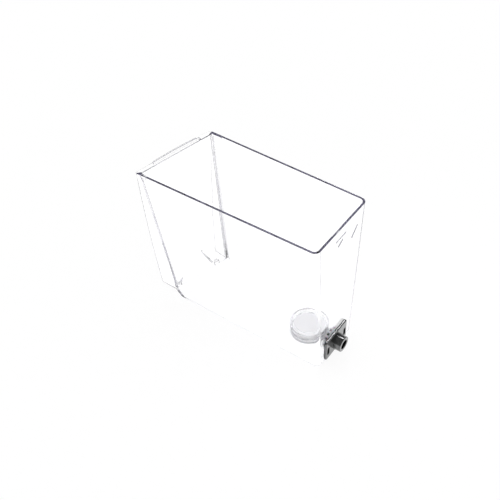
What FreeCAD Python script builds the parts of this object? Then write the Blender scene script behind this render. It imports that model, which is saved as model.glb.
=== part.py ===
import FreeCAD, Part
import math
import os

# Fresh water tank of a countertop drinks machine: a clear open-topped tub with a
# black quick-coupling outlet, the spring-loaded shut-off valve inside the outlet,
# and a low-water float in a round cage on the floor.
# Millimetres, +Z up, +X towards the outlet. The origin is on the underside of the
# floor, halfway along the longer side wall's rim and halfway across the tank.

V = FreeCAD.Vector

# ---------------------------------------------------------------- driving sizes

# Tub, outside sizes
tank_length = 262.4       # longer side wall at the rim, without the fins
tank_height = 228.5
back_width = 122.0        # across the slanted end, at the rim
front_width = 111.4       # across the outlet end, at the rim
side_draft = 13.6         # each side wall leans in this far from rim to floor
back_skew = 25.4          # the far back corner stands this much nearer the outlet
back_lean = 21.4          # run of the slanted back wall, from the rim to the heel
heel_height = 15.1        # the heel joins the slanted wall to the floor
heel_run = 11.6
wall = 3.0
back_wall = 2.0           # the slanted wall is thinner
floor_thickness = 3.0
corner_radius = 8.0       # upright corners beside the outlet, outside
inner_corner_radius = 5.6
bottom_radius = 4.0       # edges between the walls and the floor, outside

# Fins: the side walls run on behind the slanted wall
fin_top_reach = 2.6
fin_middle_reach = 5.4
fin_foot_reach = 3.0
fin_corner_radius = 2.5

# Lip along the top of the slanted wall, with a hooked tab that hangs on the machine
lip_thickness = 2.2
near_lip_reach = 5.0
far_lip_reach = 7.3       # beside the tab, narrowing towards the far corner
far_corner_reach = 4.1
tab_start = 29.0          # from the near corner, along the rim
tab_length = 71.0
tab_reach = 7.0
tab_bulge = 1.2           # the tab's edge bows out this far at its middle
tab_drop = 6.0
tab_edge = 1.8
tab_notch = 3.0           # gap between the tab and the lip beyond it

# Corner patches inside the rim, where the side walls meet the slanted wall
patch_thickness = 1.2
near_patch_length = 9.0
near_patch_height = 5.0
far_patch_length = 14.0
far_patch_height = 3.0

# Pegs and hook at the foot of the slanted wall, for the machine's base
peg_radius = 4.5
peg_length = 6.0
peg_foot_z = 16.5
peg_wall = 1.4
peg_cap = 2.0             # the pegs are cored from below, up to this cap
near_peg_offset = 8.5     # from the near wall, along the heel
far_peg_offset = 77.0
hook_offset = 70.0
hook_root_rise = 6.0      # its root above the heel
hook_width = 2.6
hook_thickness = 2.2
hook_reach = 20.0
hook_rise = 15.0

# Raised marks on the outside of the outlet wall
mark_proud = 0.6
fill_line_y = -3.6
fill_line_drop = 14.4     # from the rim down to the mark's middle
fill_line_length = 22.0
fill_line_width = 2.0
fill_tick_y = -3.8
fill_tick_drop = 23.3
fill_tick_length = 11.3
fill_tick_width = 3.0
fill_tick_tilt = 28.5     # degrees
fill_bar_y = 29.0
fill_bar_drop = 30.0
fill_bar_length = 17.7
fill_bar_width = 3.6
fill_bar_tilt = 46.0      # degrees

# Outlet: its axis lies along X
outlet_y = -4.3
outlet_z = 25.1
flange_width = 51.0
flange_height = 35.5
flange_rise = 1.0         # the flange's middle above the outlet's axis
flange_thickness = 3.8
flange_corner_radius = 3.0
flange_edge_radius = 1.3
slot_spacing = 40.0       # between the two upright slots in the flange
slot_width = 5.2
slot_length = 14.5
slot_drop = 1.2           # the slots' middle below the outlet's axis
spout_radius = 11.2
spout_length = 11.6       # from the flange's face
spout_tip_radius = 0.9
collar_radius = 11.8
collar_length = 3.6
socket_radius = 7.0       # bore that takes the machine's probe
seat_hole_radius = 5.0
seat_thickness = 2.0
chamber_radius = 8.5
chamber_depth = 14.5      # from the barrel's mouth to the valve seat
barrel_radius = 11.0
barrel_past_nut = 0.5
barrel_hole_gap = 0.2     # radial, barrel in the tank's hole

# Seals and nut around the barrel
gasket_thickness = 1.3
gasket_inset = 0.3        # its edge, inside the flange's edge all round
washer_radius = 15.5
washer_thickness = 1.0
nut_radius = 16.0
nut_thickness = 6.5
nut_gap = 0.05            # radial, over the crests of the thread
castle_count = 14
castle_width = 3.8
castle_depth = 4.4        # along the axis

# Valve train in the barrel
clip_thickness = 0.7
clip_band = 1.8           # radial width of the clip's band
clip_groove_depth = 0.8
clip_gap_angle = 50.0     # degrees
clip_setback = 0.7        # from the barrel's mouth
screen_thickness = 0.5
screen_hole_radius = 0.55
screen_rings = 2
guide_thickness = 2.0
guide_band = 1.8
guide_gap = 0.1           # radial, guide and screen in the chamber
spoke_count = 3
spoke_width = 2.4
hub_radius = 4.0
hub_cap = 1.0
hub_nose = 2.4            # reaches this far into the spring
stem_radius = 2.0
stem_gap = 0.08           # radial running clearance in the hub
valve_travel = 3.5
stem_end_gap = 1.0        # left in the hub with the valve fully open
poppet_radius = 7.2
poppet_thickness = 2.5
nose_radius = 3.5
nose_setback = 0.5        # its tip, inside the seat's hole
seal_thickness = 1.5
spring_radius = 5.0       # to the middle of the wire
spring_wire = 0.7
spring_turns = 3.0
spring_end_gap = 0.05

# Float cage on the floor
cage_setback = 47.0       # its middle, from the outlet wall's outer face
cage_y = 7.4
cage_radius = 25.3
cage_height = 16.5
cage_wall = 1.7
cage_top = 1.6
cage_mouth_radius = 19.2
cage_edge_radius = 0.9
cage_fit = 0.1            # radial, cover over the base's rim
base_thickness = 2.4
base_rim_height = 3.5
base_rim_wall = 1.3
cage_windows = 8
window_width = 9.0
window_height = 3.6
pad_radius = 20.0         # raised pad on the floor that centres the cage
pad_rise = 1.0
pad_gap = 0.2             # radial, in the recess under the cage
pad_glue = 0.1            # thickness of the bond above the pad

# Float
float_radius = 21.2
float_wall = 1.2
float_cup_height = 6.4
float_lid_thickness = 1.0
float_plug_depth = 1.0
float_plug_gap = 0.1
float_rest_gap = 0.3
magnet_radius = 2.5
magnet_thickness = 3.0
magnet_offset = 16.2      # from the float's axis
magnet_angle = -65.0      # degrees from +X
pocket_wall = 0.8
pocket_gap = 0.05

# -------------------------------------------------------------- derived places

x_back = -tank_length / 2
x_front = tank_length / 2
rim_z = tank_height
fill_line_z = rim_z - fill_line_drop
fill_tick_z = rim_z - fill_tick_drop
fill_bar_z = rim_z - fill_bar_drop
reach = 4 * tank_length   # size of the blocks used to cut along a plane
touch = 1e-4

wall_inner = -wall                              # along the outlet's axis, from the
washer_inner = wall_inner - washer_thickness    # wall's outer face
nut_inner = washer_inner - nut_thickness
barrel_end = nut_inner - barrel_past_nut
seat_face = barrel_end + chamber_depth
socket_floor = seat_face + seat_thickness
spout_end = flange_thickness + spout_length
clip_face = barrel_end + clip_setback
screen_face = clip_face + clip_thickness
guide_face = screen_face + screen_thickness
guide_front = guide_face + guide_thickness
poppet_front = seat_face - seal_thickness
poppet_back = poppet_front - poppet_thickness

cage_x = x_front - cage_setback
cage_floor_z = floor_thickness
base_top_z = cage_floor_z + base_thickness
cage_top_z = cage_floor_z + cage_height
float_bottom_z = base_top_z + float_rest_gap
float_cup_top_z = float_bottom_z + float_cup_height
base_rim_radius = cage_radius - cage_wall - cage_fit


# --------------------------------------------------------------- small helpers

def beyond(point, normal):
    """A large block on the outer side of a plane."""
    block = Part.makeBox(2 * reach, 2 * reach, reach, V(-reach, -reach, 0))
    block.Placement = FreeCAD.Placement(point, FreeCAD.Rotation(V(0, 0, 1), normal))
    return block


def inward(plane, depth):
    """The same plane moved towards the inside of the tank."""
    point, normal = plane
    return point - normal * depth, normal


def distance(plane, point):
    return (point - plane[0]).dot(plane[1])


def edges_on(shape, *planes):
    """The edges whose ends lie on every one of the planes."""
    def lies_on_all(edge):
        return all(abs(distance(plane, vertex.Point)) < touch
                   for vertex in edge.Vertexes for plane in planes)
    return [edge for edge in shape.Edges if lies_on_all(edge)]


def rod(radius, start, end):
    """A cylinder along the outlet's axis, from the wall's outer face."""
    base = V(x_front + start, outlet_y, outlet_z)
    return Part.makeCylinder(radius, end - start, base, V(1, 0, 0))


def pipe(outer, inner, start, end):
    return rod(outer, start, end).cut(rod(inner, start - 1, end + 1))


def about_outlet(shape, degrees):
    turned = shape.copy()
    turned.rotate(V(x_front, outlet_y, outlet_z), V(1, 0, 0), degrees)
    return turned


def drum(radius, low, high):
    """An upright cylinder about the float cage's axis."""
    return Part.makeCylinder(radius, high - low, V(cage_x, cage_y, low))


def hoop(outer, inner, low, high):
    return drum(outer, low, high).cut(drum(inner, low - 1, high + 1))


def about_cage(shape, degrees):
    turned = shape.copy()
    turned.rotate(V(cage_x, cage_y, 0), V(0, 0, 1), degrees)
    return turned


# ------------------------------------------------------------------- tank shell

def side_plane(side):
    """Outer face of a side wall: side is -1 for the near wall and 1 for the far."""
    along_wall = V(tank_length, side * (front_width - back_width) / 2, 0)
    down_wall = V(0, -side * side_draft, -tank_height)
    normal = along_wall.cross(down_wall).normalize()
    if normal.y * side < 0:
        normal = -normal
    return V(x_back, side * back_width / 2, rim_z), normal


heel_width = back_width - 2 * side_draft * (1 - heel_height / tank_height)
near_corner = V(x_back, -back_width / 2, rim_z)
far_corner = V(x_back + back_skew, back_width / 2, rim_z)
near_heel = V(x_back + back_lean, -heel_width / 2, heel_height)
far_heel = V(x_back + back_lean + back_skew, heel_width / 2, heel_height)
along_rim = (far_corner - near_corner).normalize()
along_heel = (far_heel - near_heel).normalize()

near_plane = side_plane(-1)
far_plane = side_plane(1)
front_plane = (V(x_front, 0, 0), V(1, 0, 0))
floor_plane = (V(0, 0, 0), V(0, 0, -1))
heel_fall = V(heel_run, 0, -heel_height)
heel_plane = (near_heel, along_heel.cross(heel_fall).normalize())


def outward(along):
    """Level direction out of the tank, square to a line along the slanted wall."""
    return V(-along.y, along.x, 0)


def beyond_back(inset):
    """What lies behind the slanted wall, whose face runs from the rim to the heel."""
    rise = (near_corner - near_heel) * (1 / (rim_z - heel_height))
    far_rise = (far_corner - far_heel) * (1 / (rim_z - heel_height))
    sections = []
    for z in (-wall, rim_z + 2 * wall):
        near = near_heel + rise * (z - heel_height)
        far = far_heel + far_rise * (z - heel_height)
        along = (far - near).normalize()
        near = near - outward(along) * inset - along * back_width
        far = far - outward(along) * inset + along * back_width
        away = outward(along) * tank_length
        points = [near, far, far + away, near + away]
        sections.append(Part.makePolygon(points + points[:1]))
    return Part.makeLoft(sections, True, True)


def tub(inset, back_inset, depth, corner, bottom, top):
    """A solid with the tub's shape: its outside, or its hollow when inset."""
    sides = [inward(near_plane, inset), inward(far_plane, inset)]
    front = inward(front_plane, inset)
    base = inward(floor_plane, depth)
    start = V(x_back - tank_length / 4, -back_width, -wall)
    block = Part.makeBox(2 * tank_length, 2 * back_width, top + wall, start)
    for plane in sides + [front, base]:
        block = block.cut(beyond(*plane))
    uprights = [edge for side in sides for edge in edges_on(block, side, front)]
    block = block.makeFillet(corner, uprights)
    around_floor = [edge for edge in edges_on(block, base)
                    if edge.CenterOfMass.x > start.x + touch]
    block = block.makeFillet(bottom, around_floor)
    block = block.cut(beyond(*inward(heel_plane, inset)))
    return block.cut(beyond_back(back_inset))


def fin(plane, corner_x):
    """A side wall's sheet behind the slanted wall, down to the heel."""
    top = V(corner_x - fin_top_reach, -back_width, rim_z)
    middle_z = (rim_z + heel_height) / 2
    middle = V(corner_x - fin_middle_reach, -back_width, middle_z)
    foot = V(corner_x - fin_foot_reach, -back_width, heel_height)
    inner = V(corner_x + back_lean + back_skew, -back_width, heel_height)
    straight = Part.makePolygon([foot, inner, V(inner.x, inner.y, rim_z), top])
    bowed = Part.Arc(top, middle, foot).toShape()
    sheet = Part.Face(Part.Wire(straight.Edges + [bowed])).extrude(V(0, 2 * back_width, 0))
    foot_planes = [(foot, V(1, 0, 0)), (foot, V(0, 0, 1))]
    sheet = sheet.makeFillet(fin_corner_radius, edges_on(sheet, *foot_planes))
    return sheet.cut(beyond(*plane)).common(beyond(*inward(plane, wall)))


def rim_point(along, out, z):
    """A point beside the slanted wall's rim: along it from the near corner, and out."""
    foot = V(near_corner.x, near_corner.y, z)
    return foot + along_rim * along + outward(along_rim) * out


def lip_piece(start, end, start_reach, end_reach, bulge, low):
    """A stretch of the lip, whose outer edge may bow out."""
    inner = -back_wall / 2
    corner = rim_point(start, start_reach, low)
    far_corner_point = rim_point(end, end_reach, low)
    root = Part.makePolygon([corner, rim_point(start, inner, low),
                             rim_point(end, inner, low), far_corner_point])
    if bulge > 0:
        middle = rim_point((start + end) / 2, (start_reach + end_reach) / 2 + bulge, low)
        edge = Part.Arc(corner, middle, far_corner_point).toShape()
    else:
        edge = Part.makeLine(corner, far_corner_point)
    outline = Part.Wire(root.Edges + [edge])
    return Part.Face(outline).extrude(V(0, 0, rim_z - low))


def lip():
    """The lip between the fins, and the tab that hooks over the machine's rail."""
    rim_span = back_width / along_rim.y
    shelf_z = rim_z - lip_thickness
    tab_end = tab_start + tab_length
    bar = lip_piece(0, tab_start, near_lip_reach, near_lip_reach, 0, shelf_z)
    tab = lip_piece(tab_start, tab_end, tab_reach, tab_reach, tab_bulge, rim_z - tab_drop)
    under = lip_piece(tab_start - 1, tab_end + 1, tab_reach - tab_edge, tab_reach - tab_edge,
                      tab_bulge, rim_z - 2 * tab_drop)
    under.translate(V(0, 0, -lip_thickness))
    bar = bar.fuse(tab.cut(under))
    rest_start = tab_end + tab_notch
    rest = lip_piece(rest_start, rim_span, far_lip_reach, far_corner_reach, 0, shelf_z)
    bar = bar.fuse(rest)
    for plane in (near_plane, far_plane):
        bar = bar.cut(beyond(*inward(plane, wall / 2)))
    return bar


def locating_peg(offset):
    """A round cored peg at the foot of the slanted wall, at an offset along the heel."""
    place = near_heel + along_heel * offset
    foot = V(place.x, place.y, peg_foot_z)
    peg = Part.makeCylinder(peg_radius, peg_length, foot)
    core_length = peg_length - peg_cap
    return peg.cut(Part.makeCylinder(peg_radius - peg_wall, core_length, foot))


def base_hook():
    """An arm that reaches up and back from the foot of the slanted wall."""
    root = near_heel + along_heel * hook_offset
    root = root + V(0, -hook_width / 2, hook_root_rise)
    tip = root + V(-hook_reach, 0, hook_rise)
    up = V(0, 0, hook_thickness)
    points = [root, tip, tip + up, root + up]
    arm = Part.Face(Part.makePolygon(points + points[:1]))
    return arm.extrude(V(0, hook_width, 0))


def corner_patch(plane, corner_x, length, height):
    """A thicker patch inside the rim, at a back corner."""
    size = (length + wall, 2 * back_width, height)
    patch = Part.makeBox(*size, V(corner_x, -back_width, rim_z - height))
    patch = patch.cut(beyond(*inward(plane, wall / 2)))
    patch = patch.common(beyond(*inward(plane, wall + patch_thickness)))
    return patch.cut(beyond_back(back_wall / 2))


def front_bar(y, z, length, width, tilt):
    """A straight raised mark on the outlet wall."""
    size = (wall / 2 + mark_proud, length, width)
    bar = Part.makeBox(*size, V(x_front - wall / 2, y - length / 2, z - width / 2))
    bar.rotate(V(x_front, y, z), V(1, 0, 0), tilt)
    return bar


def tank_shell():
    outside = tub(0, 0, 0, corner_radius, bottom_radius, tank_height)
    hollow = tub(wall, back_wall, floor_thickness, inner_corner_radius,
                 bottom_radius - wall, tank_height + wall)
    shell = outside
    shell = shell.fuse(fin(near_plane, near_corner.x))
    shell = shell.fuse(fin(far_plane, far_corner.x))
    shell = shell.fuse(lip())
    shell = shell.fuse(locating_peg(near_peg_offset))
    shell = shell.fuse(locating_peg(far_peg_offset))
    shell = shell.fuse(base_hook())
    shell = shell.cut(hollow)
    shell = shell.fuse(corner_patch(near_plane, near_corner.x, near_patch_length,
                                    near_patch_height))
    shell = shell.fuse(corner_patch(far_plane, far_corner.x, far_patch_length,
                                    far_patch_height))
    shell = shell.fuse(front_bar(fill_line_y, fill_line_z, fill_line_length, fill_line_width, 0))
    shell = shell.fuse(front_bar(fill_tick_y, fill_tick_z, fill_tick_length, fill_tick_width,
                                 fill_tick_tilt))
    shell = shell.fuse(front_bar(fill_bar_y, fill_bar_z, fill_bar_length, fill_bar_width,
                                 fill_bar_tilt))
    shell = shell.fuse(drum(pad_radius, floor_thickness / 2, floor_thickness + pad_rise))
    shell = shell.cut(rod(barrel_radius + barrel_hole_gap, -2 * wall, wall))
    return shell.removeSplitter()


# ----------------------------------------------------------------------- outlet

def plate(start, end, inset):
    """A round-cornered plate square to the outlet's axis, with its edge inset."""
    width = flange_width - 2 * inset
    height = flange_height - 2 * inset
    corner = V(x_front + start, outlet_y - width / 2, outlet_z + flange_rise - height / 2)
    sheet = Part.makeBox(end - start, width, height, corner)
    through = [edge for edge in sheet.Edges if edge.BoundBox.XLength > touch]
    return sheet.makeFillet(flange_corner_radius - inset, through)


def flange():
    body = plate(gasket_thickness, flange_thickness, 0)
    face = (V(x_front + flange_thickness, 0, 0), V(1, 0, 0))
    return body.makeFillet(flange_edge_radius, edges_on(body, face))


def flange_slot(side):
    """An upright slot with round ends, through one wing of the flange."""
    half = slot_length / 2 - slot_width / 2
    y = outlet_y + side * slot_spacing / 2
    middle = outlet_z - slot_drop
    start = x_front - 1
    depth = flange_thickness + 2
    slot = Part.makeBox(depth, slot_width, 2 * half,
                        V(start, y - slot_width / 2, middle - half))
    for z in (middle - half, middle + half):
        end = Part.makeCylinder(slot_width / 2, depth, V(start, y, z), V(1, 0, 0))
        slot = slot.fuse(end)
    return slot


def outlet_body():
    spout = rod(spout_radius, flange_thickness / 2, spout_end)
    tip = (V(x_front + spout_end, 0, 0), V(1, 0, 0))
    spout = spout.makeFillet(spout_tip_radius, edges_on(spout, tip))
    body = flange().fuse(spout)
    body = body.fuse(rod(collar_radius, flange_thickness / 2, flange_thickness + collar_length))
    body = body.fuse(rod(barrel_radius, barrel_end, flange_thickness / 2))
    for side in (-1, 1):
        body = body.cut(flange_slot(side))
    body = body.cut(rod(chamber_radius, barrel_end - 1, seat_face))
    body = body.cut(rod(seat_hole_radius, seat_face - 1, socket_floor + 1))
    body = body.cut(rod(socket_radius, socket_floor, spout_end + 1))
    groove = rod(chamber_radius + clip_groove_depth, clip_face, screen_face)
    return body.cut(groove).removeSplitter()


def flange_gasket():
    """A rubber sheet between the flange and the wall, in the flange's outline."""
    sheet = plate(0, gasket_thickness, gasket_inset)
    return sheet.cut(rod(barrel_radius, -1, flange_thickness))


def nut_washer():
    return pipe(washer_radius, barrel_radius + barrel_hole_gap, washer_inner, wall_inner)


def ring_nut():
    """A ring whose inner end is cut into lugs for a pin wrench."""
    nut = pipe(nut_radius, barrel_radius + nut_gap, nut_inner, washer_inner)
    notch = Part.makeBox(2 * castle_depth, castle_width, 2 * nut_radius)
    notch.translate(V(x_front + nut_inner - castle_depth, outlet_y - castle_width / 2,
                      outlet_z + barrel_radius / 2))
    for step in range(castle_count):
        nut = nut.cut(about_outlet(notch, step * 360 / castle_count))
    return nut


# ------------------------------------------------------------------ valve train

def retaining_clip():
    outer = chamber_radius + clip_groove_depth - guide_gap
    band = pipe(outer, outer - clip_band, clip_face, screen_face)
    half = clip_gap_angle / 2
    far = 2 * chamber_radius
    spread = far * math.tan(math.radians(half))
    tip = V(x_front + clip_face - 1, outlet_y, outlet_z)
    corners = [tip, tip + V(0, spread, -far), tip + V(0, -spread, -far)]
    wedge = Part.Face(Part.makePolygon(corners + corners[:1]))
    return band.cut(wedge.extrude(V(clip_thickness + 2, 0, 0)))


def strainer_screen():
    outer = chamber_radius - guide_gap
    disc = pipe(outer, hub_radius + guide_gap, screen_face, guide_face)
    spacing = (outer - hub_radius) / (screen_rings + 1)
    for ring in range(1, screen_rings + 1):
        radius = hub_radius + ring * spacing
        count = int(2 * math.pi * radius / (4 * screen_hole_radius))
        hole = rod(screen_hole_radius, screen_face - 1, guide_face + 1)
        hole.translate(V(0, 0, radius))
        for step in range(count):
            disc = disc.cut(about_outlet(hole, step * 360 / count))
    return disc


def spring_guide():
    """A ring with spokes and a blind hub that the valve's stem slides in."""
    outer = chamber_radius - guide_gap
    hub_bore = stem_radius + stem_gap
    stem_end = guide_face - valve_travel
    hub_end = stem_end - stem_end_gap - hub_cap
    guide = pipe(outer, outer - guide_band, guide_face, guide_front)
    nose_end = guide_front + hub_nose
    guide = guide.fuse(rod(hub_radius, hub_end, nose_end))
    arm = Part.makeBox(guide_thickness, spoke_width, outer - guide_band / 2)
    arm.translate(V(x_front + guide_face, outlet_y - spoke_width / 2, outlet_z))
    for step in range(spoke_count):
        guide = guide.fuse(about_outlet(arm, step * 360 / spoke_count))
    bore = rod(hub_bore, hub_end + hub_cap, nose_end + 1)
    return guide.cut(bore).removeSplitter()


def valve_spring():
    start = guide_front + spring_end_gap + spring_wire / 2
    end = poppet_back - spring_end_gap - spring_wire / 2
    length = end - start
    path = Part.makeHelix(length / spring_turns, length, spring_radius)
    wire = Part.makeCircle(spring_wire / 2, V(spring_radius, 0, 0), V(0, 1, 0))
    coil = Part.Wire(path).makePipeShell([Part.Wire(wire)], True, True)
    coil.rotate(V(0, 0, 0), V(0, 1, 0), 90)
    coil.translate(V(x_front + start, outlet_y, outlet_z))
    return coil


def valve_poppet():
    poppet = rod(poppet_radius, poppet_back, poppet_front)
    poppet = poppet.fuse(rod(nose_radius, poppet_front, socket_floor - nose_setback))
    poppet = poppet.fuse(rod(stem_radius, guide_face, poppet_back))
    return poppet.removeSplitter()


def poppet_seal():
    return pipe(poppet_radius, nose_radius, poppet_front, seat_face)


# --------------------------------------------------------------- float and cage

def window_block(low, high):
    """A radial block that cuts one window in an upright ring."""
    size = (2 * cage_radius, window_width, high - low)
    return Part.makeBox(*size, V(cage_x, cage_y - window_width / 2, low))


def cage_base():
    base = drum(cage_radius, cage_floor_z, base_top_z)
    rim = hoop(base_rim_radius, base_rim_radius - base_rim_wall, cage_floor_z,
               base_top_z + base_rim_height)
    recess = drum(pad_radius + pad_gap, cage_floor_z - 1, cage_floor_z + pad_rise + pad_glue)
    return base.fuse(rim).cut(recess).removeSplitter()


def cage_cover():
    cover = drum(cage_radius, base_top_z, cage_top_z)
    top = (V(0, 0, cage_top_z), V(0, 0, 1))
    cover = cover.makeFillet(cage_edge_radius, edges_on(cover, top))
    cover = cover.cut(drum(cage_radius - cage_wall, base_top_z - 1, cage_top_z - cage_top))
    cover = cover.cut(drum(cage_mouth_radius, base_top_z, cage_top_z + 1))
    low = base_top_z + base_rim_height + cage_edge_radius
    window = window_block(low, low + window_height)
    for step in range(cage_windows):
        cover = cover.cut(about_cage(window, (step + 0.5) * 360 / cage_windows))
    return cover


def magnet_place(radius, low, high):
    angle = math.radians(magnet_angle)
    centre = V(cage_x + magnet_offset * math.cos(angle),
               cage_y + magnet_offset * math.sin(angle), low)
    return Part.makeCylinder(radius, high - low, centre)


def float_cup():
    cup = drum(float_radius, float_bottom_z, float_cup_top_z)
    inside_z = float_bottom_z + float_wall
    cup = cup.cut(drum(float_radius - float_wall, inside_z, float_cup_top_z + 1))
    pocket_radius = magnet_radius + pocket_gap
    pocket_top = inside_z + magnet_thickness
    pocket = magnet_place(pocket_radius + pocket_wall, float_bottom_z, pocket_top)
    cup = cup.fuse(pocket)
    return cup.cut(magnet_place(pocket_radius, inside_z, pocket_top + 1)).removeSplitter()


def float_magnet():
    inside_z = float_bottom_z + float_wall
    return magnet_place(magnet_radius, inside_z, inside_z + magnet_thickness)


def float_lid():
    lid = drum(float_radius, float_cup_top_z, float_cup_top_z + float_lid_thickness)
    plug_radius = float_radius - float_wall - float_plug_gap
    plug = drum(plug_radius, float_cup_top_z - float_plug_depth, float_cup_top_z)
    return lid.fuse(plug).removeSplitter()


# ----------------------------------------------------------------------- output

pieces = {
    "tank_shell": tank_shell,
    "outlet_body": outlet_body,
    "flange_gasket": flange_gasket,
    "nut_washer": nut_washer,
    "ring_nut": ring_nut,
    "retaining_clip": retaining_clip,
    "strainer_screen": strainer_screen,
    "spring_guide": spring_guide,
    "valve_spring": valve_spring,
    "valve_poppet": valve_poppet,
    "poppet_seal": poppet_seal,
    "cage_base": cage_base,
    "cage_cover": cage_cover,
    "float_cup": float_cup,
    "float_magnet": float_magnet,
    "float_lid": float_lid,
}

os.makedirs("parts", exist_ok=True)
for name, make in pieces.items():
    shape = make()
    shape.exportStep("parts/" + name + ".step")
    print(name, "solids", len(shape.Solids), "valid", shape.isValid(), "volume", round(shape.Volume, 1))
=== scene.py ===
"""Fresh water tank of a drinks machine: finishes, stage and camera.

Lengths are in metres, and the tank stands on z = 0 with its outlet towards +X.
"""

import math

import bmesh
import bpy
from mathutils import Matrix, Vector


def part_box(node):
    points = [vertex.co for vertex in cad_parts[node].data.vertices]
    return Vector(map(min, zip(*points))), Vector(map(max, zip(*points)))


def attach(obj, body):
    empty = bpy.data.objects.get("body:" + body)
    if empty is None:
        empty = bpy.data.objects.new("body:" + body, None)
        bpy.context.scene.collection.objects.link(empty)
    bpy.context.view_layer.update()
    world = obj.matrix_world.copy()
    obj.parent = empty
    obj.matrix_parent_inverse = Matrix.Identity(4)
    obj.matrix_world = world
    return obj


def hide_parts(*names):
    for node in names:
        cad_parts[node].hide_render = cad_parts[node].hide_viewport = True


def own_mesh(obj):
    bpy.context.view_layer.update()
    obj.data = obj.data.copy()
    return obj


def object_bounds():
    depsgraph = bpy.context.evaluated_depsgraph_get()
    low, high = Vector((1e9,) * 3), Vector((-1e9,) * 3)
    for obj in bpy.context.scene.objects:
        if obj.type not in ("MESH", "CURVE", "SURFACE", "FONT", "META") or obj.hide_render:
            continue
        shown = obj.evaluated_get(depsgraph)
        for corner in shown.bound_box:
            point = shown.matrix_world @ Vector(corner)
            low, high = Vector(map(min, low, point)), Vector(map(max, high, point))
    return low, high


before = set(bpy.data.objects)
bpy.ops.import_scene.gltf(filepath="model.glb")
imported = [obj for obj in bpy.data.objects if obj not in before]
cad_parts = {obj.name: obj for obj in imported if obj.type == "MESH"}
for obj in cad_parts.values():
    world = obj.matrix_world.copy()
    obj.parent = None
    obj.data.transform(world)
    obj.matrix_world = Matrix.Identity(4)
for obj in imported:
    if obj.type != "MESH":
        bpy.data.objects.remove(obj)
cad_low, cad_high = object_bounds()

MM = 0.001

# Sockets of the Mix node that share a name, by their place in its lists.
FLOAT_A, FLOAT_B = 2, 3
COLOUR_A, COLOUR_B, COLOUR_OUT = 6, 7, 2


# ------------------------------------------------------------------ helpers


def linear(hex_colour, alpha=1.0):
    """An sRGB hex colour as the linear RGBA that sockets take."""
    parts = [int(hex_colour[i : i + 2], 16) / 255 for i in (1, 3, 5)]
    return [c / 12.92 if c <= 0.04045 else ((c + 0.055) / 1.055) ** 2.4 for c in parts] + [alpha]


def add_node(tree, kind, settings=None, inputs=None):
    """Adds one node. Settings are its own options; an input is a value or another node's output."""
    made = tree.nodes.new(kind)
    for name, value in (settings or {}).items():
        setattr(made, name, value)
    for name, value in (inputs or {}).items():
        if isinstance(value, bpy.types.NodeSocket):
            tree.links.new(value, made.inputs[name])
        else:
            made.inputs[name].default_value = value
    return made


def new_material(name):
    """An empty material and its node tree."""
    made = bpy.data.materials.new(name)
    made.use_nodes = True
    made.node_tree.nodes.clear()
    return made, made.node_tree


def finish_material(tree, surface, volume=None):
    """Links the surface, and the volume if there is one, to the material's output."""
    out = add_node(tree, "ShaderNodeOutputMaterial", inputs={"Surface": surface})
    if volume is not None:
        tree.links.new(volume, out.inputs["Volume"])


def dress(node, material):
    """Gives a CAD node its finish."""
    obj = bpy.data.objects[node]
    for place in obj.material_slots:
        place.material = material


# ------------------------------------------------------------------ finishes


def clear_polycarbonate():
    """Moulded clear polycarbonate: faces almost vanish, and cut edges gather a violet-grey tint.

    The melt leaves a slow ripple, about 30 mm from crest to crest, that bends reflections a little.
    """
    mat, tree = new_material("clear_polycarbonate_moulded")
    where = add_node(tree, "ShaderNodeTexCoord")
    ripple = add_node(tree, "ShaderNodeTexNoise", inputs={
        "Vector": where.outputs["Object"], "Scale": 30.0, "Detail": 1.0, "Roughness": 0.4})
    bump = add_node(tree, "ShaderNodeBump", inputs={
        "Height": ripple.outputs["Fac"], "Strength": 0.05, "Distance": 1 * MM})
    clear = add_node(tree, "ShaderNodeBsdfPrincipled", inputs={
        "Base Color": linear("#ffffff"), "Roughness": 0.0, "IOR": 1.585,
        "Transmission Weight": 1.0, "Normal": bump.outputs["Normal"]})
    open_to_lamps = add_node(tree, "ShaderNodeBsdfTransparent", inputs={"Color": linear("#fbfbfd")})
    path = add_node(tree, "ShaderNodeLightPath")
    either = add_node(tree, "ShaderNodeMixShader", inputs={
        0: path.outputs["Is Shadow Ray"], 1: clear.outputs[0], 2: open_to_lamps.outputs[0]})
    tint = add_node(tree, "ShaderNodeVolumeAbsorption", inputs={
        "Color": linear("#8c88a8"), "Density": 9.0})
    finish_material(tree, either.outputs[0], tint.outputs[0])
    return mat


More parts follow.
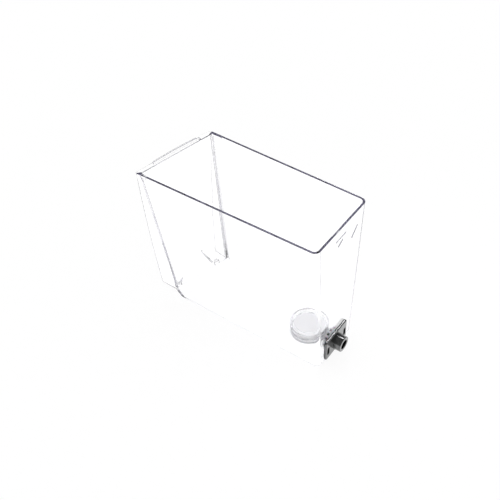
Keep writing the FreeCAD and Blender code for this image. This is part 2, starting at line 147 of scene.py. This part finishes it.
def black_nylon():
    """Black nylon, moulded in a spark-eroded tool: deep black, a soft gloss and a fine even grain.

    The grain is really 0.1 mm. It is drawn at 0.5 mm, so that it shows.
    """
    mat, tree = new_material("black_nylon_moulded")
    where = add_node(tree, "ShaderNodeTexCoord")
    grain = add_node(tree, "ShaderNodeTexNoise", inputs={
        "Vector": where.outputs["Object"], "Scale": 1 / (0.5 * MM), "Detail": 2.0})
    flow = add_node(tree, "ShaderNodeTexNoise", inputs={
        "Vector": where.outputs["Object"], "Scale": 1 / (9 * MM), "Detail": 2.0, "Distortion": 0.6})
    bump = add_node(tree, "ShaderNodeBump", inputs={
        "Height": grain.outputs["Fac"], "Strength": 0.25, "Distance": 0.02 * MM})
    tone = add_node(tree, "ShaderNodeMix", {"data_type": "RGBA"}, {
        "Factor": flow.outputs["Fac"], COLOUR_A: linear("#070708"), COLOUR_B: linear("#121213")})
    gloss = add_node(tree, "ShaderNodeMapRange", inputs={
        "Value": flow.outputs["Fac"], "From Min": 0.3, "From Max": 0.7, "To Min": 0.08, "To Max": 0.17})
    nylon = add_node(tree, "ShaderNodeBsdfPrincipled", inputs={
        "Base Color": tone.outputs[COLOUR_OUT], "Roughness": gloss.outputs[0], "IOR": 1.8, "Coat Weight": 1.0,
        "Coat Roughness": 0.05, "Coat IOR": 1.8, "Normal": bump.outputs["Normal"]})
    finish_material(tree, nylon.outputs[0])
    return mat


def silicone_rubber():
    """Black silicone rubber, pressed and cut: matt, with a faint grey bloom in patches."""
    mat, tree = new_material("black_silicone_rubber")
    where = add_node(tree, "ShaderNodeTexCoord")
    bloom = add_node(tree, "ShaderNodeTexNoise", inputs={
        "Vector": where.outputs["Object"], "Scale": 1 / (4 * MM), "Detail": 4.0, "Roughness": 0.65})
    grit = add_node(tree, "ShaderNodeTexNoise", inputs={
        "Vector": where.outputs["Object"], "Scale": 1 / (0.4 * MM), "Detail": 1.0})
    tone = add_node(tree, "ShaderNodeMix", {"data_type": "RGBA"}, {
        "Factor": bloom.outputs["Fac"], COLOUR_A: linear("#0d0d0f"), COLOUR_B: linear("#232326")})
    bump = add_node(tree, "ShaderNodeBump", inputs={
        "Height": grit.outputs["Fac"], "Strength": 0.4, "Distance": 0.03 * MM})
    rubber = add_node(tree, "ShaderNodeBsdfPrincipled", inputs={
        "Base Color": tone.outputs[COLOUR_OUT], "Roughness": 0.62, "IOR": 1.42,
        "Normal": bump.outputs["Normal"]})
    finish_material(tree, rubber.outputs[0])
    return mat


def natural_nylon():
    """Undyed nylon, moulded: milky, slightly waxy, with cloudy flow patches and a soft gloss."""
    mat, tree = new_material("natural_nylon_moulded")
    where = add_node(tree, "ShaderNodeTexCoord")
    cloud = add_node(tree, "ShaderNodeTexNoise", inputs={
        "Vector": where.outputs["Object"], "Scale": 1 / (5 * MM), "Detail": 3.0, "Distortion": 0.8})
    tone = add_node(tree, "ShaderNodeMix", {"data_type": "RGBA"}, {
        "Factor": cloud.outputs["Fac"], COLOUR_A: linear("#dedbe4"), COLOUR_B: linear("#f6f5f8")})
    gloss = add_node(tree, "ShaderNodeMapRange", inputs={
        "Value": cloud.outputs["Fac"], "From Min": 0.3, "From Max": 0.7, "To Min": 0.22, "To Max": 0.34})
    bump = add_node(tree, "ShaderNodeBump", inputs={
        "Height": cloud.outputs["Fac"], "Strength": 0.2, "Distance": 0.05 * MM})
    nylon = add_node(tree, "ShaderNodeBsdfPrincipled", inputs={
        "Base Color": tone.outputs[COLOUR_OUT], "Roughness": gloss.outputs[0], "IOR": 1.53,
        "Subsurface Weight": 0.25, "Subsurface Scale": 1 * MM, "Normal": bump.outputs["Normal"]})
    finish_material(tree, nylon.outputs[0])
    return mat


def stainless_wire():
    """Stainless steel, drawn and rolled: bright grey with fine lines along the way it was drawn.

    The lines are really about 20 microns apart. They are drawn at 0.15 mm, so that they show.
    """
    mat, tree = new_material("stainless_steel_drawn")
    where = add_node(tree, "ShaderNodeTexCoord")
    along = add_node(tree, "ShaderNodeMapping", inputs={
        "Vector": where.outputs["Object"], "Scale": (1 / (0.15 * MM), 1 / (3 * MM), 1 / (3 * MM))})
    lines = add_node(tree, "ShaderNodeTexNoise", inputs={
        "Vector": along.outputs["Vector"], "Scale": 1.0, "Detail": 2.0})
    tone = add_node(tree, "ShaderNodeMix", {"data_type": "RGBA"}, {
        "Factor": lines.outputs["Fac"], COLOUR_A: linear("#a9abae"), COLOUR_B: linear("#d0d1d2")})
    gloss = add_node(tree, "ShaderNodeMapRange", inputs={
        "Value": lines.outputs["Fac"], "From Min": 0.3, "From Max": 0.7, "To Min": 0.2, "To Max": 0.38})
    bump = add_node(tree, "ShaderNodeBump", inputs={
        "Height": lines.outputs["Fac"], "Strength": 0.2, "Distance": 0.01 * MM})
    steel = add_node(tree, "ShaderNodeBsdfPrincipled", inputs={
        "Base Color": tone.outputs[COLOUR_OUT], "Metallic": 1.0, "Roughness": gloss.outputs[0],
        "Normal": bump.outputs["Normal"]})
    finish_material(tree, steel.outputs[0])
    return mat


def white_acetal():
    """White acetal, moulded: dense and cool white, smooth, with a low waxy shine."""
    mat, tree = new_material("white_acetal_moulded")
    where = add_node(tree, "ShaderNodeTexCoord")
    haze = add_node(tree, "ShaderNodeTexNoise", inputs={
        "Vector": where.outputs["Object"], "Scale": 1 / (3 * MM), "Detail": 3.0})
    tone = add_node(tree, "ShaderNodeMix", {"data_type": "RGBA"}, {
        "Factor": haze.outputs["Fac"], COLOUR_A: linear("#e2e1dc"), COLOUR_B: linear("#efeeea")})
    gloss = add_node(tree, "ShaderNodeMapRange", inputs={
        "Value": haze.outputs["Fac"], "From Min": 0.3, "From Max": 0.7, "To Min": 0.3, "To Max": 0.42})
    bump = add_node(tree, "ShaderNodeBump", inputs={
        "Height": haze.outputs["Fac"], "Strength": 0.15, "Distance": 0.03 * MM})
    acetal = add_node(tree, "ShaderNodeBsdfPrincipled", inputs={
        "Base Color": tone.outputs[COLOUR_OUT], "Roughness": gloss.outputs[0], "IOR": 1.48,
        "Subsurface Weight": 0.1, "Subsurface Scale": 0.5 * MM, "Normal": bump.outputs["Normal"]})
    finish_material(tree, acetal.outputs[0])
    return mat


def frosted_polypropylene():
    """Thin natural polypropylene, moulded: see-through with a faint milky haze that edges gather.

    The haze is patchy over about 6 mm, where the melt cooled unevenly.
    """
    mat, tree = new_material("frosted_polypropylene_moulded")
    where = add_node(tree, "ShaderNodeTexCoord")
    haze = add_node(tree, "ShaderNodeTexNoise", inputs={
        "Vector": where.outputs["Object"], "Scale": 1 / (6 * MM), "Detail": 2.0})
    gloss = add_node(tree, "ShaderNodeMapRange", inputs={
        "Value": haze.outputs["Fac"], "From Min": 0.3, "From Max": 0.7, "To Min": 0.1, "To Max": 0.2})
    bump = add_node(tree, "ShaderNodeBump", inputs={
        "Height": haze.outputs["Fac"], "Strength": 0.1, "Distance": 0.1 * MM})
    hazy = add_node(tree, "ShaderNodeBsdfPrincipled", inputs={
        "Base Color": linear("#ffffff"), "Roughness": gloss.outputs[0], "IOR": 1.22,
        "Transmission Weight": 0.93, "Normal": bump.outputs["Normal"]})
    open_to_lamps = add_node(tree, "ShaderNodeBsdfTransparent", inputs={"Color": linear("#f4f4f6")})
    path = add_node(tree, "ShaderNodeLightPath")
    either = add_node(tree, "ShaderNodeMixShader", inputs={
        0: path.outputs["Is Shadow Ray"], 1: hazy.outputs[0], 2: open_to_lamps.outputs[0]})
    finish_material(tree, either.outputs[0])
    return mat


def foamed_polypropylene():
    """White foamed polypropylene: a dry matt skin with the cells of the foam showing through.

    The cells are 0.2 to 0.4 mm. They are drawn at 0.8 mm, so that they show.
    """
    mat, tree = new_material("foamed_polypropylene_skin")
    where = add_node(tree, "ShaderNodeTexCoord")
    cells = add_node(tree, "ShaderNodeTexVoronoi", inputs={
        "Vector": where.outputs["Object"], "Scale": 1 / (0.8 * MM)})
    tone = add_node(tree, "ShaderNodeMix", {"data_type": "RGBA"}, {
        "Factor": cells.outputs["Distance"], COLOUR_A: linear("#ffffff"), COLOUR_B: linear("#f2f2f4")})
    bump = add_node(tree, "ShaderNodeBump", inputs={
        "Height": cells.outputs["Distance"], "Strength": 0.3, "Distance": 0.05 * MM})
    foam = add_node(tree, "ShaderNodeBsdfPrincipled", inputs={
        "Base Color": tone.outputs[COLOUR_OUT], "Roughness": 0.6, "IOR": 1.49,
        "Normal": bump.outputs["Normal"]})
    finish_material(tree, foam.outputs[0])
    return mat


def nickel_plate():
    """Nickel-plated magnet, barrel-polished: warm bright metal with soft tumbling marks."""
    mat, tree = new_material("nickel_plate_tumbled")
    where = add_node(tree, "ShaderNodeTexCoord")
    marks = add_node(tree, "ShaderNodeTexNoise", inputs={
        "Vector": where.outputs["Object"], "Scale": 1 / (0.6 * MM), "Detail": 3.0})
    tone = add_node(tree, "ShaderNodeMix", {"data_type": "RGBA"}, {
        "Factor": marks.outputs["Fac"], COLOUR_A: linear("#b9b4a8"), COLOUR_B: linear("#d2cdc2")})
    gloss = add_node(tree, "ShaderNodeMapRange", inputs={
        "Value": marks.outputs["Fac"], "From Min": 0.3, "From Max": 0.7, "To Min": 0.15, "To Max": 0.3})
    nickel = add_node(tree, "ShaderNodeBsdfPrincipled", inputs={
        "Base Color": tone.outputs[COLOUR_OUT], "Metallic": 1.0, "Roughness": gloss.outputs[0]})
    finish_material(tree, nickel.outputs[0])
    return mat


# ------------------------------------------------------------------ pieces

# How a CAD node's triangles become whole faces.
WELD_WITHIN = 0.002 * MM
FLAT_WITHIN = math.radians(0.2)

# Degrees that an edge has to turn by before it is rounded.
SHARP_TURN = 28
STILL_SQUARE_TURN = 50   # leaves out what an earlier step has rounded already

# Rounds of the tub.
JUNCTION_ROUND = 4.2 * MM   # along the slanted wall inside, at the fins' roots and across the heel
FIN_ROUND = 1.0 * MM
BACK_RIM_ROUND = 0.8 * MM
LIP_ROUND = 0.7 * MM
RIM_ROUND = 0.35 * MM

# Where those edges lie on the tub.
RIM_DEPTH = 10.5 * MM           # the rim and all that hangs on it, below the top
LIP_DEPTH = 6.5 * MM            # the lip alone
LEVEL_WITHIN = 0.2 * MM         # rise of an edge that still counts as level
TOP_WITHIN = 0.1 * MM
SHORTEST_JUNCTION = 40 * MM
SHORTEST_LIP_EDGE = 8 * MM
SHORTEST_BACK_RIM = 100 * MM
LIP_BEHIND_X = -99 * MM
BACK_RIM_BEHIND_X = -100 * MM
LIP_HALF_WIDTH = 57 * MM
FINS_BEHIND_X = -84 * MM
FINS_BEYOND_Y = 43.5 * MM
FINS_ABOVE_Z = 14 * MM

# Rounds of the small moulded pieces.
OUTLET_ROUND = 0.25 * MM
NUT_ROUND = 0.4 * MM
DRUM_ROUND = 0.3 * MM           # the float and its cage
BARREL_DEPTH = 12.5 * MM        # from the barrel's mouth to just past the flange's back

# The shut-off spring.
WIRE_RADIUS = 0.35 * MM
WIRE_SIDES = 10
STEPS_PER_TURN = 40
END_TURNS = 0.5
OPEN_TURNS = 2.0
CLOSED_PITCH = 2.1 * WIRE_RADIUS


def merged_copy(node):
    """A closed bmesh of a CAD node: its loose triangles joined, and flat faces made whole."""
    made = bmesh.new()
    made.from_mesh(bpy.data.objects[node].data)
    bmesh.ops.remove_doubles(made, verts=made.verts, dist=WELD_WITHIN)
    bmesh.ops.dissolve_limit(made, angle_limit=FLAT_WITHIN, verts=made.verts, edges=made.edges)
    return made


def sharp_edges(shape, wanted, turn=SHARP_TURN):
    """The shape's edges that turn by more than so many degrees and pass a test."""
    return [e for e in shape.edges
            if e.is_manifold and e.calc_face_angle() > math.radians(turn) and wanted(e)]


def round_edges(shape, edges, width, steps=2):
    """Rounds edges. The width is kept even where two rounds meet."""
    bmesh.ops.bevel(shape, geom=edges, offset=width, offset_type="OFFSET", segments=steps, profile=0.5,
                    affect="EDGES", clamp_overlap=False, material=-1)


def add_piece(name, shape, material, body, node, smooth_below=40):
    """Makes a mesh piece at the origin, smooth where its faces meet gently."""
    mesh = bpy.data.meshes.new(name)
    shape.to_mesh(mesh)
    shape.free()
    mesh.shade_smooth()
    mesh.set_sharp_from_angle(angle=math.radians(smooth_below))
    mesh.materials.append(material)
    obj = bpy.data.objects.new(name, mesh)
    bpy.context.scene.collection.objects.link(obj)
    flat = obj.modifiers.new("flat_faces_stay_flat", "WEIGHTED_NORMAL")
    flat.weight = 100
    flat.keep_sharp = True
    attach(obj, body)
    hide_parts(node)
    return obj


def middle(edge):
    return (edge.verts[0].co + edge.verts[1].co) / 2


def low_z(edge):
    return min(v.co.z for v in edge.verts)


def tub():
    """The clear moulding, with the soft edges that its mould gave it."""
    shape = merged_copy("tank_shell")
    own_low, own_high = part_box("tank_shell")
    top = cad_high.z

    def junction(e):
        return (not e.is_convex and e.calc_length() > SHORTEST_JUNCTION
                and low_z(e) < top - RIM_DEPTH)

    def on_fin(e):
        place = middle(e)
        return (e.is_convex and abs(place.y) > FINS_BEYOND_Y and place.x < FINS_BEHIND_X
                and place.z > FINS_ABOVE_Z)

    def back_rim(e):
        place = middle(e)
        return (e.calc_length() > SHORTEST_BACK_RIM and place.z > top - TOP_WITHIN
                and place.x < BACK_RIM_BEHIND_X)

    def on_lip(e):
        place = middle(e)
        rise = e.verts[0].co.z - e.verts[1].co.z
        return (e.is_convex and place.z > top - LIP_DEPTH and place.x < LIP_BEHIND_X
                and abs(place.y) < LIP_HALF_WIDTH and abs(rise) < LEVEL_WITHIN
                and e.calc_length() > SHORTEST_LIP_EDGE and not back_rim(e))

    def on_rim(e):
        return low_z(e) > top - RIM_DEPTH

    for wanted, turn, width in (
            (junction, SHARP_TURN, JUNCTION_ROUND),
            (on_fin, SHARP_TURN, FIN_ROUND),
            (back_rim, SHARP_TURN, BACK_RIM_ROUND),
            (on_lip, STILL_SQUARE_TURN, LIP_ROUND),
            (on_rim, STILL_SQUARE_TURN, RIM_ROUND)):
        round_edges(shape, sharp_edges(shape, wanted, turn), width, steps=3)
    for v in shape.verts:
        v.co = [min(max(c, lowest), highest) for c, lowest, highest in zip(v.co, own_low, own_high)]
    add_piece("tub", shape, clear_polycarbonate(), "tank", "tank_shell",
              smooth_below=50)


def soft_edged(name, node, width, material, body, wanted=lambda e: True):
    """A moulded piece with its sharp outer edges rounded as its mould leaves them."""
    shape = merged_copy(node)
    round_edges(shape, sharp_edges(shape, lambda e: e.is_convex and wanted(e)), width)
    add_piece(name, shape, material, body, node, smooth_below=35)


def shutoff_spring(material):
    """Round wire in three turns: half a closed coil at each end, and open coils between."""
    low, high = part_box("valve_spring")
    middle_y, middle_z = (low[1] + high[1]) / 2, (low[2] + high[2]) / 2
    radius = (high[1] - low[1]) / 2 - WIRE_RADIUS
    rest = high[0] - low[0]
    shape = bmesh.new()
    place = Matrix.Translation((low[0] + WIRE_RADIUS, middle_y, middle_z - radius)) @ Matrix.Rotation(
        math.pi / 2, 4, "X")
    bmesh.ops.create_circle(shape, segments=WIRE_SIDES, radius=WIRE_RADIUS, matrix=place, cap_ends=True)
    shape.normal_update()
    open_pitch = (rest - 2 * WIRE_RADIUS - 2 * END_TURNS * CLOSED_PITCH) / OPEN_TURNS
    start = list(shape.faces)
    joint = []
    for turns, pitch in ((END_TURNS, CLOSED_PITCH), (OPEN_TURNS, open_pitch), (END_TURNS, CLOSED_PITCH)):
        steps = int(STEPS_PER_TURN * turns)
        spun = bmesh.ops.spin(shape, geom=start, cent=(0, middle_y, middle_z), axis=(1, 0, 0),
                              dvec=(pitch * turns / steps, 0, 0), angle=2 * math.pi * turns,
                              steps=steps, use_merge=False, use_duplicate=False)
        bmesh.ops.delete(shape, geom=joint, context="FACES_ONLY")
        start = [g for g in spun["geom_last"] if isinstance(g, bmesh.types.BMFace)]
        joint = start
    bmesh.ops.recalc_face_normals(shape, faces=shape.faces)
    obj = add_piece("shutoff_spring", shape, material, "tank", "valve_spring")
    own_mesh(obj)


past_flange_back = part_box("outlet_body")[0][0] + BARREL_DEPTH


def outside_the_wall(e):
    """True for the edges of the spout and the flange, but for the flange's back."""
    return middle(e).x > past_flange_back


tub()
nylon = natural_nylon()
steel = stainless_wire()
acetal = white_acetal()
rubber = silicone_rubber()
polypropylene = frosted_polypropylene()
foam = foamed_polypropylene()

soft_edged("outlet", "outlet_body", OUTLET_ROUND, black_nylon(), "tank", outside_the_wall)
soft_edged("castle_nut", "ring_nut", NUT_ROUND, nylon, "tank")
soft_edged("float_cage_cover", "cage_cover", DRUM_ROUND, polypropylene, "tank")
soft_edged("float_cage_base", "cage_base", DRUM_ROUND, polypropylene, "tank")
soft_edged("float_top", "float_lid", DRUM_ROUND, foam, "float")
soft_edged("float_bottom", "float_cup", DRUM_ROUND, foam, "float")
shutoff_spring(steel)
dress("flange_gasket", rubber)
dress("poppet_seal", rubber)
dress("nut_washer", nylon)
for name in ("retaining_clip", "strainer_screen"):
    dress(name, steel)
for name in ("spring_guide", "valve_poppet"):
    dress(name, acetal)
dress("float_magnet", nickel_plate())


# ------------------------------------------------------------------ stage

TABLE_SIZE = 40.0
SHADOW_SHARE = 0.1                # of the table's white that takes the tank's shadow
MIRRORED_SHADOW_SHARE = 0.7       # the same, as a mirror sees the table
SEEN_THROUGH_WALLS = 1.22         # makes up for the light that clear walls take from the white behind
SWEEP_SIDE = (-0.6, 0.75, 0.28)   # the white sweep curves up on this side of the table
SWEEP_FULL, SWEEP_ENDS = 0.45, 0.05   # lean to that side where the sweep is full, and where it ends
ROOM_FROM = 0.0                   # height, as a sine, from which mirrors see the unlit room
ROOM_FROM_IN_GLASS = 0.35         # the same for light that is bent through a wall
ROOM_FADE = 0.2                   # height over which the room darkens
DARK_ROOM = 0.22                  # what mirrors and glass see of it

LAMP_PLACE = (0.0624, 0.1437, 0.248)
LAMP_AIM = (0.141, -0.004, 0.036)   # the top of the spout
LAMP_WIDTH = 0.085
LAMP_WATTS = 0.13


def mirrored(tree, path):
    """1 for light that a surface has mirrored on its way, and 0 for light that only passed walls."""
    count = add_node(tree, "ShaderNodeMath", {"operation": "MINIMUM"}, {
        0: path.outputs["Glossy Depth"], 1: 1.0})
    return count.outputs[0]


def white_floor():
    """White for the table: seen plain, but for the share that takes the tank's shadow."""
    mat, tree = new_material("white_table")
    path = add_node(tree, "ShaderNodeLightPath")
    seen = add_node(tree, "ShaderNodeMath", {"operation": "MAXIMUM"}, {
        0: path.outputs["Is Camera Ray"], 1: path.outputs["Is Glossy Ray"]})
    seen_or_through = add_node(tree, "ShaderNodeMath", {"operation": "MAXIMUM"}, {
        0: seen.outputs[0], 1: path.outputs["Is Transmission Ray"]})
    fixed = add_node(tree, "ShaderNodeMix", {"data_type": "FLOAT"}, {
        0: mirrored(tree, path), FLOAT_A: 1 - SHADOW_SHARE, FLOAT_B: 1 - MIRRORED_SHADOW_SHARE})
    share = add_node(tree, "ShaderNodeMath", {"operation": "MULTIPLY"}, {
        0: seen_or_through.outputs[0], 1: fixed.outputs[0]})
    lit = add_node(tree, "ShaderNodeBsdfDiffuse", inputs={"Color": linear("#ffffff")})
    strength = add_node(tree, "ShaderNodeMix", {"data_type": "FLOAT"}, {
        0: path.outputs["Is Transmission Ray"], FLOAT_A: 1.0, FLOAT_B: SEEN_THROUGH_WALLS})
    glow = add_node(tree, "ShaderNodeEmission", inputs={
        "Color": linear("#ffffff"), "Strength": strength.outputs[0]})
    both = add_node(tree, "ShaderNodeMixShader", inputs={
        0: share.outputs[0], 1: lit.outputs[0], 2: glow.outputs[0]})
    finish_material(tree, both.outputs[0])
    return mat


def table():
    """The flat white table that the tank stands on."""
    shape = bmesh.new()
    bmesh.ops.create_grid(shape, x_segments=1, y_segments=1, size=TABLE_SIZE / 2)
    mesh = bpy.data.meshes.new("table")
    shape.to_mesh(mesh)
    shape.free()
    mesh.materials.append(white_floor())
    obj = bpy.data.objects.new("table", mesh)
    bpy.context.scene.collection.objects.link(obj)


def studio_world():
    """White all round. Mirrors see an unlit room above it, and so does glass, but for the sweep's side."""
    world = bpy.data.worlds.new("studio")
    bpy.context.scene.world = world
    world.use_nodes = True
    tree = world.node_tree
    tree.nodes.clear()
    path = add_node(tree, "ShaderNodeLightPath")
    glossy_or_through = add_node(tree, "ShaderNodeMath", {"operation": "MAXIMUM"}, {
        0: path.outputs["Is Glossy Ray"], 1: path.outputs["Is Transmission Ray"]})
    seen = add_node(tree, "ShaderNodeMath", {"operation": "SUBTRACT", "use_clamp": True}, {
        0: glossy_or_through.outputs[0], 1: path.outputs["Diffuse Depth"]})
    where = add_node(tree, "ShaderNodeTexCoord")
    direction = add_node(tree, "ShaderNodeSeparateXYZ", inputs={"Vector": where.outputs["Generated"]})
    towards = add_node(tree, "ShaderNodeVectorMath", {"operation": "DOT_PRODUCT"}, {
        0: where.outputs["Generated"], 1: SWEEP_SIDE})
    off_the_sweep = add_node(tree, "ShaderNodeMapRange", {"interpolation_type": "SMOOTHSTEP"}, {
        "Value": towards.outputs["Value"], "From Min": SWEEP_FULL, "From Max": SWEEP_ENDS,
        "To Min": 0.0, "To Max": 1.0})
    off_or_mirrored = add_node(tree, "ShaderNodeMath", {"operation": "MAXIMUM"}, {
        0: off_the_sweep.outputs[0], 1: mirrored(tree, path)})
    lowest = add_node(tree, "ShaderNodeMix", {"data_type": "FLOAT"}, {
        0: mirrored(tree, path), FLOAT_A: ROOM_FROM_IN_GLASS, FLOAT_B: ROOM_FROM})
    over_it = add_node(tree, "ShaderNodeMath", {"operation": "SUBTRACT"}, {
        0: direction.outputs["Z"], 1: lowest.outputs[0]})
    high_up = add_node(tree, "ShaderNodeMapRange", {"interpolation_type": "SMOOTHSTEP"}, {
        "Value": over_it.outputs[0], "From Min": 0.0, "From Max": ROOM_FADE, "To Min": 0.0, "To Max": 1.0})
    unlit = add_node(tree, "ShaderNodeMath", {"operation": "MULTIPLY"}, {
        0: off_or_mirrored.outputs[0], 1: high_up.outputs[0]})
    seen_level = add_node(tree, "ShaderNodeMapRange", inputs={
        "Value": unlit.outputs[0], "To Min": SEEN_THROUGH_WALLS, "To Max": DARK_ROOM})
    level = add_node(tree, "ShaderNodeMix", {"data_type": "FLOAT"}, {
        0: seen.outputs[0], FLOAT_A: 1.0, FLOAT_B: seen_level.outputs[0]})
    background = add_node(tree, "ShaderNodeBackground", inputs={
        "Color": linear("#ffffff"), "Strength": level.outputs[0]})
    add_node(tree, "ShaderNodeOutputWorld", inputs={"Surface": background.outputs[0]})


def soft_box():
    """A round soft box behind the tank, which the outlet's upper faces mirror."""
    lamp = bpy.data.lights.new("soft_box_behind", "AREA")
    lamp.shape = "DISK"
    lamp.size = LAMP_WIDTH
    lamp.energy = LAMP_WATTS
    obj = bpy.data.objects.new("soft_box_behind", lamp)
    bpy.context.scene.collection.objects.link(obj)
    obj.location = LAMP_PLACE
    obj.rotation_mode = "QUATERNION"
    obj.rotation_quaternion = (Vector(LAMP_AIM) - Vector(LAMP_PLACE)).to_track_quat("-Z", "Y")
    obj.visible_camera = False


table()
studio_world()
soft_box()


# ------------------------------------------------------------------ camera

CAMERA_PLACE = Vector((0.43517, -0.55775, 0.83215))
CAMERA_AZIMUTH = math.radians(38.384)
CAMERA_ELEVATION = math.radians(45.324)
CAMERA_ROLL = math.radians(-3.116)
CAMERA_LENS = 54.705     # millimetres
CAMERA_SENSOR = 36.0
LIGHT_BOUNCES = 96       # enough to pass the clear walls and to run along inside them
SHADOW_BOUNCES = 32      # clear faces that the lamp's light may pass


def camera():
    """The camera, turned by its own azimuth, elevation and roll."""
    obj = bpy.data.objects.new("camera", bpy.data.cameras.new("camera"))
    bpy.context.scene.collection.objects.link(obj)
    obj.data.lens = CAMERA_LENS
    obj.data.sensor_width = CAMERA_SENSOR
    back = Vector((math.cos(CAMERA_ELEVATION) * math.sin(CAMERA_AZIMUTH),
                   -math.cos(CAMERA_ELEVATION) * math.cos(CAMERA_AZIMUTH),
                   math.sin(CAMERA_ELEVATION)))
    level_right = (-back).cross(Vector((0, 0, 1))).normalized()
    right = Matrix.Rotation(CAMERA_ROLL, 3, back) @ level_right
    up = back.cross(right)
    obj.rotation_mode = "QUATERNION"
    obj.rotation_quaternion = Matrix((right, up, back)).transposed().to_quaternion()
    obj.location = CAMERA_PLACE
    return obj


scene = bpy.context.scene
scene.camera = camera()
scene.view_settings.view_transform = "Standard"
scene.cycles.max_bounces = LIGHT_BOUNCES
scene.cycles.transmission_bounces = LIGHT_BOUNCES
scene.cycles.glossy_bounces = LIGHT_BOUNCES
scene.cycles.transparent_max_bounces = SHADOW_BOUNCES
